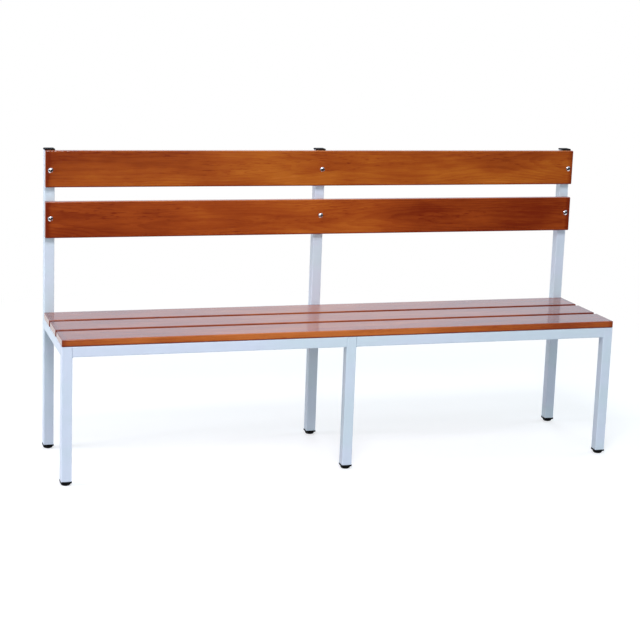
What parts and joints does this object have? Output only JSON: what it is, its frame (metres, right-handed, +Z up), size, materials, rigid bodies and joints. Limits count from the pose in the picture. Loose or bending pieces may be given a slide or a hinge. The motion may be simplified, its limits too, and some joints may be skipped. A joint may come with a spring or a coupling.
{
  "type": "slatted bench with back",
  "caption": "Long slatted wooden bench with a slatted back, on a welded square-tube steel frame with plastic glides, for changing rooms, corridors and refectories.",
  "frame": {"origin": "on the floor, in the middle of the bench's box", "axes": "+X along the bench to the sitter's left, seen from the front to the right; +Y from the seat's front to the back; +Z up"},
  "size_m": [1.802, 0.4316, 0.97],
  "materials": {
    "frame_paint": "satin",
    "slat_wood": "gloss varnish",
    "black_plastic": "moulded",
    "bright_zinc": "bright plated"
  },
  "bodies": {
    "root": {"front_leg_left": "frame_paint", "front_leg_middle": "frame_paint", "front_leg_right": "frame_paint", "rear_post_left": "frame_paint", "rear_post_middle": "frame_paint", "rear_post_right": "frame_paint", "cross_rail_left": "frame_paint", "cross_rail_middle": "frame_paint", "cross_rail_right": "frame_paint", "front_rail_left": "frame_paint", "front_rail_right": "frame_paint", "rear_rail_left": "frame_paint", "rear_rail_right": "frame_paint", "seat_slat_front": "slat_wood", "seat_slat_middle": "slat_wood", "seat_slat_rear": "slat_wood", "back_slat_lower": "slat_wood", "back_slat_upper": "slat_wood", "foot_front_left": "black_plastic", "foot_front_middle": "black_plastic", "foot_front_right": "black_plastic", "foot_rear_left": "black_plastic", "foot_rear_middle": "black_plastic", "foot_rear_right": "black_plastic", "post_cap_left": "black_plastic", "post_cap_middle": "black_plastic", "post_cap_right": "black_plastic", "back_bolts": "bright_zinc", "back_washers": "bright_zinc", "back_nuts": "bright_zinc", "seat_screws_front": "bright_zinc", "seat_screws_middle": "bright_zinc", "seat_screws_rear": "bright_zinc"}
  },
  "joints": []
}
